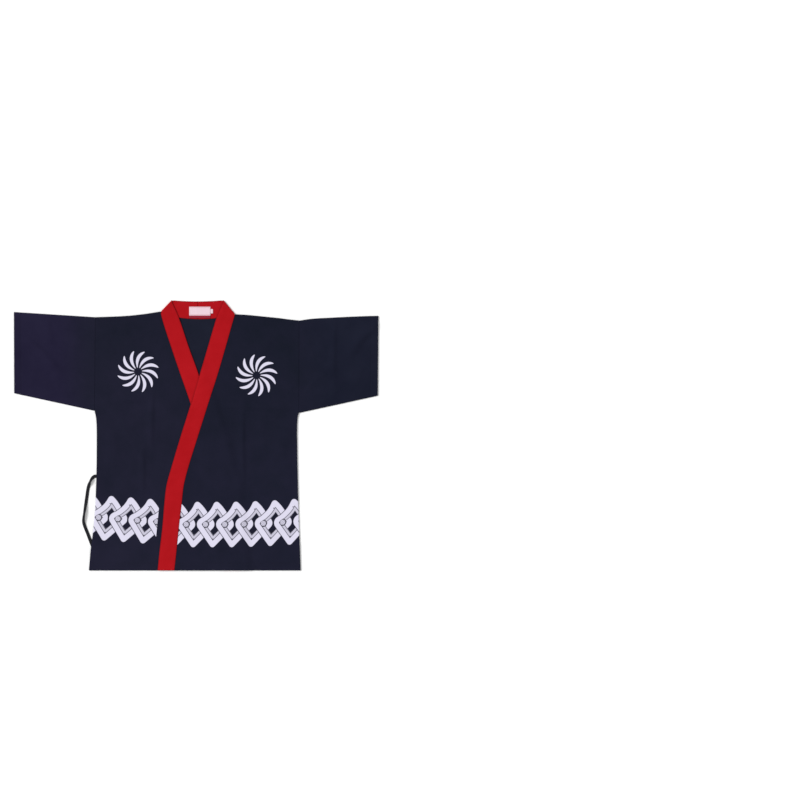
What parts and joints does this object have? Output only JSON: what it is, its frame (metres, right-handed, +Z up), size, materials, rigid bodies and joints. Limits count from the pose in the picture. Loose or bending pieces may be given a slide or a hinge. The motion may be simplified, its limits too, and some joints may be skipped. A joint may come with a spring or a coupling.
{
  "type": "chef jacket",
  "caption": "Wrap-front happi-style chef jacket laid flat: wide straight sleeves, contrast collar band down both fronts, printed hem band and chest whirls, side tie.",
  "frame": {"origin": "middle of the jacket's length and cuff span, on the surface that it lies on", "axes": "+X towards the wearer's left cuff, +Y from the hem to the collar, +Z up out of the front"},
  "size_m": [1.02, 0.755, 0.0072],
  "materials": {
    "body_cloth": "matt dark navy plain-weave cotton blend, with a white print at the hem and on the chest",
    "sleeve_cloth": "matt dark navy plain-weave cotton blend",
    "band_cloth": "matt red plain-weave cotton blend, doubled and pressed",
    "label_weave": "woven white label ribbon with a slight sheen, left blank",
    "tie_tape": "matt black narrow tape"
  },
  "bodies": {
    "root": {"back": "body_cloth", "right_front": "body_cloth", "left_front": "body_cloth", "right_sleeve": "sleeve_cloth", "left_sleeve": "sleeve_cloth", "collar_band_right": "band_cloth", "collar_band_left": "band_cloth", "neck_label": "label_weave", "size_tab": "label_weave", "side_tie": "tie_tape"}
  },
  "joints": []
}
